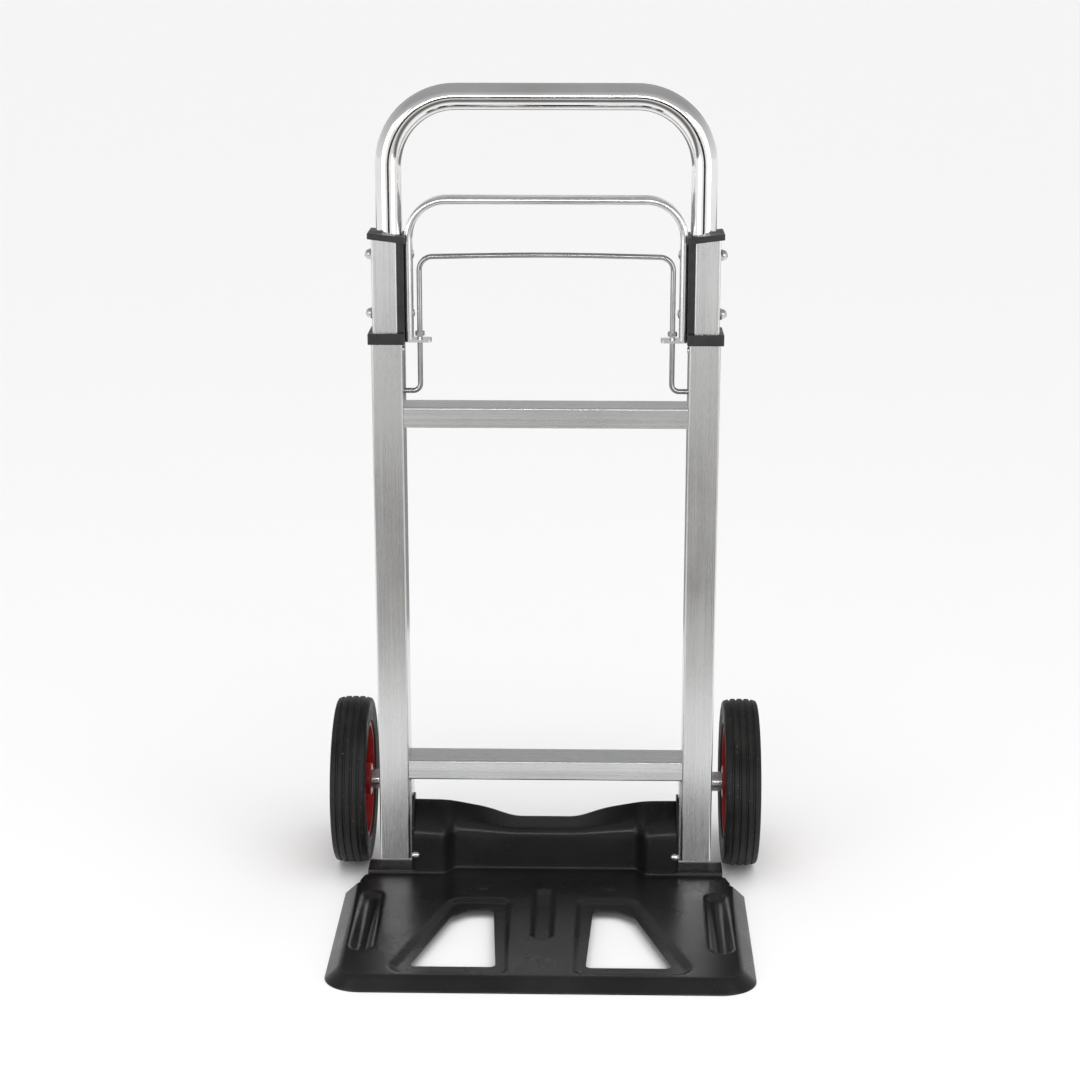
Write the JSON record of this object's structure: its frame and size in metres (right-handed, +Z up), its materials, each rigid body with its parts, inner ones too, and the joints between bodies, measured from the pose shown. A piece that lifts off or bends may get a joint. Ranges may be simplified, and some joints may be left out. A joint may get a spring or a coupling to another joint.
{
  "type": "folding hand truck",
  "caption": "Folding telescoping hand truck: aluminium rails, chrome U handle, release bail, black pressed toe plate that folds up and rubber wheels that fold in behind.",
  "frame": {"origin": "on the floor, at the middle of the truck's box with the handle down and the toe plate open", "axes": "+Z up along the rails, -Y towards the toe plate's front edge, +X to the truck's right-hand wheel seen from the front"},
  "size_m": [0.43, 0.404, 0.7945],
  "materials": {
    "rail_aluminium": "satin extruded aluminium with fine lengthwise lines",
    "chrome": "polished chrome plate on steel tube and wire",
    "black_plastic": "moulded black plastic with a fine grain",
    "black_paint": "satin black powder coat on pressed steel",
    "zinc_steel": "bright zinc-plated steel",
    "spring_steel": "oiled spring wire",
    "tyre_rubber": "black rubber with a film of dust in the grooves",
    "red_hub": "glossy red moulded plastic",
    "bush_nylon": "natural nylon"
  },
  "bodies": {
    "frame": {"rail_left": "rail_aluminium", "rail_right": "rail_aluminium", "upper_crossbar": "rail_aluminium", "lower_crossbar": "rail_aluminium", "rail_collar_left": "black_plastic", "rail_collar_right": "black_plastic", "rail_foot_plug_left": "black_plastic", "rail_foot_plug_right": "black_plastic", "collar_screws": "zinc_steel", "foot_bracket_left": "zinc_steel", "foot_bracket_right": "zinc_steel", "bracket_rivets": "zinc_steel", "toe_pivot_pins": "zinc_steel", "wheel_swivel_rod_left": "zinc_steel", "wheel_swivel_rod_right": "zinc_steel", "wheel_fold_spring_left": "spring_steel", "wheel_fold_spring_right": "spring_steel"},
    "handle": {"handle_tube": "chrome", "slide_channel_left": "rail_aluminium", "slide_channel_right": "rail_aluminium", "handle_block_left": "black_plastic", "handle_block_right": "black_plastic", "channel_cap_left": "black_plastic", "channel_cap_right": "black_plastic", "inner_hoop": "rail_aluminium", "handle_bolts": "zinc_steel", "dome_nuts": "zinc_steel", "slide_guide_left": "black_plastic", "slide_guide_right": "black_plastic", "lock_plunger_left": "zinc_steel", "lock_plunger_right": "zinc_steel", "plunger_spring_left": "spring_steel", "plunger_spring_right": "spring_steel"},
    "bail": {"release_bail": "chrome", "bail_clips": "zinc_steel", "lock_pull_rod_left": "zinc_steel", "lock_pull_rod_right": "zinc_steel"},
    "toe": {"toe_plate": "black_paint"},
    "wheel_arm_left": {"wheel_arm_left": "zinc_steel", "axle_left": "zinc_steel", "axle_washers_left": "zinc_steel", "axle_push_nut_left": "zinc_steel"},
    "wheel_left": {"tyre_left": "tyre_rubber", "wheel_hub_left": "red_hub", "wheel_bushes_left": "bush_nylon"},
    "wheel_arm_right": {"wheel_arm_right": "zinc_steel", "axle_right": "zinc_steel", "axle_washers_right": "zinc_steel", "axle_push_nut_right": "zinc_steel"},
    "wheel_right": {"tyre_right": "tyre_rubber", "wheel_hub_right": "red_hub", "wheel_bushes_right": "bush_nylon"}
  },
  "joints": [
    {"name": "handle_slide", "type": "slide", "parent": "frame", "child": "handle", "axis": [0, 0, 1], "range_m": [0, 0.29]},
    {"name": "release_bail_lift", "type": "slide", "parent": "handle", "child": "bail", "axis": [0, 0, 1], "range_m": [0, 0.008], "stiffness_N_per_m": 400, "springref_m": -0.006},
    {"name": "toe_fold", "type": "hinge", "parent": "frame", "child": "toe", "pos_m": [0, 0.062, 0.029], "axis": [-1, 0, 0], "range_deg": [0, 90]},
    {"name": "wheel_fold_left", "type": "hinge", "parent": "frame", "child": "wheel_arm_left", "pos_m": [-0.143, 0.101, 0.085], "axis": [0, 0, -1], "range_deg": [0, 90]},
    {"name": "wheel_spin_left", "type": "hinge", "parent": "wheel_arm_left", "child": "wheel_left", "pos_m": [-0.1975, 0.117, 0.085], "axis": [1, 0, 0], "continuous": true},
    {"name": "wheel_fold_right", "type": "hinge", "parent": "frame", "child": "wheel_arm_right", "pos_m": [0.143, 0.101, 0.085], "axis": [0, 0, 1], "range_deg": [0, 90]},
    {"name": "wheel_spin_right", "type": "hinge", "parent": "wheel_arm_right", "child": "wheel_right", "pos_m": [0.1975, 0.117, 0.085], "axis": [1, 0, 0], "continuous": true}
  ],
  "couplings": [
    {"joint": "wheel_fold_left", "follows": "toe_fold", "ratio": 1},
    {"joint": "wheel_fold_right", "follows": "toe_fold", "ratio": 1}
  ]
}
